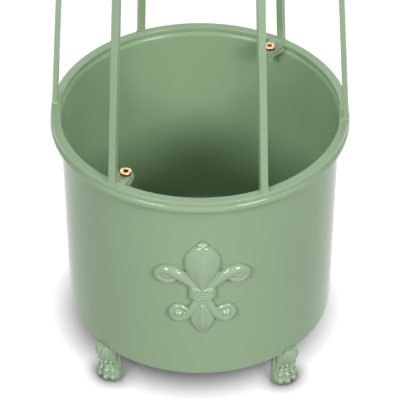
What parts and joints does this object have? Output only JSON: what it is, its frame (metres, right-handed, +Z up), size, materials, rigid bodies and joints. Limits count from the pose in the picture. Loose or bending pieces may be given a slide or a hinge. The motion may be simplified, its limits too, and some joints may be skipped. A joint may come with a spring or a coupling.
{
  "type": "planter with trellis",
  "caption": "Round sheet-metal floor planter on paw feet, with a lily ornament and a tapering cage trellis screwed to its rolled rim.",
  "frame": {"origin": "on the floor at the pot's axis", "axes": "+Z up along the pot's axis, the ornament faces -Y, +X to the right of it"},
  "size_m": [0.3, 0.3, 1.2456],
  "materials": {
    "pot_coat": "smooth satin powder coat, sage green",
    "casting_coat": "satin powder coat over a casting, sage green",
    "trellis_coat": "satin powder coat, sage green",
    "lug_coat": "satin powder coat, sage green",
    "zinc_steel": "bright zinc",
    "screw_brass": "brass plated, satin"
  },
  "bodies": {
    "pot": {"pot_wall": "pot_coat", "pot_floor": "pot_coat", "paw_foot_rear_right": "casting_coat", "paw_foot_rear_left": "casting_coat", "paw_foot_front_left": "casting_coat", "paw_foot_front_right": "casting_coat", "foot_screws": "zinc_steel", "fleur_ornament": "casting_coat", "ornament_screws": "zinc_steel", "pot_lug_front": "lug_coat", "pot_lug_rear": "lug_coat", "lug_nuts": "lug_coat"},
    "trellis": {"trellis_lug_front": "trellis_coat", "trellis_lug_rear": "trellis_coat", "base_ring": "trellis_coat", "upright_1": "trellis_coat", "upright_2": "trellis_coat", "upright_3": "trellis_coat", "upright_4": "trellis_coat", "upright_5": "trellis_coat", "upright_6": "trellis_coat", "hoop_lower": "trellis_coat", "hoop_upper": "trellis_coat", "shoulder_ring": "trellis_coat", "crown_rib_1": "trellis_coat", "crown_rib_2": "trellis_coat", "crown_rib_3": "trellis_coat", "crown_rib_4": "trellis_coat", "crown_rib_5": "trellis_coat", "crown_rib_6": "trellis_coat", "crown_collar": "casting_coat", "crown_nut": "zinc_steel", "finial": "casting_coat"},
    "screw_front": {"lug_screw_front": "screw_brass"},
    "screw_rear": {"lug_screw_rear": "screw_brass"}
  },
  "joints": [
    {"name": "trellis_lift", "type": "slide", "parent": "pot", "child": "trellis", "axis": [0, 0, 1], "range_m": [0, 0.04]},
    {"name": "screw_front_out", "type": "slide", "parent": "trellis", "child": "screw_front", "axis": [0, 0, 1], "range_m": [0, 0.02]},
    {"name": "screw_rear_out", "type": "slide", "parent": "trellis", "child": "screw_rear", "axis": [0, 0, 1], "range_m": [0, 0.02]}
  ]
}
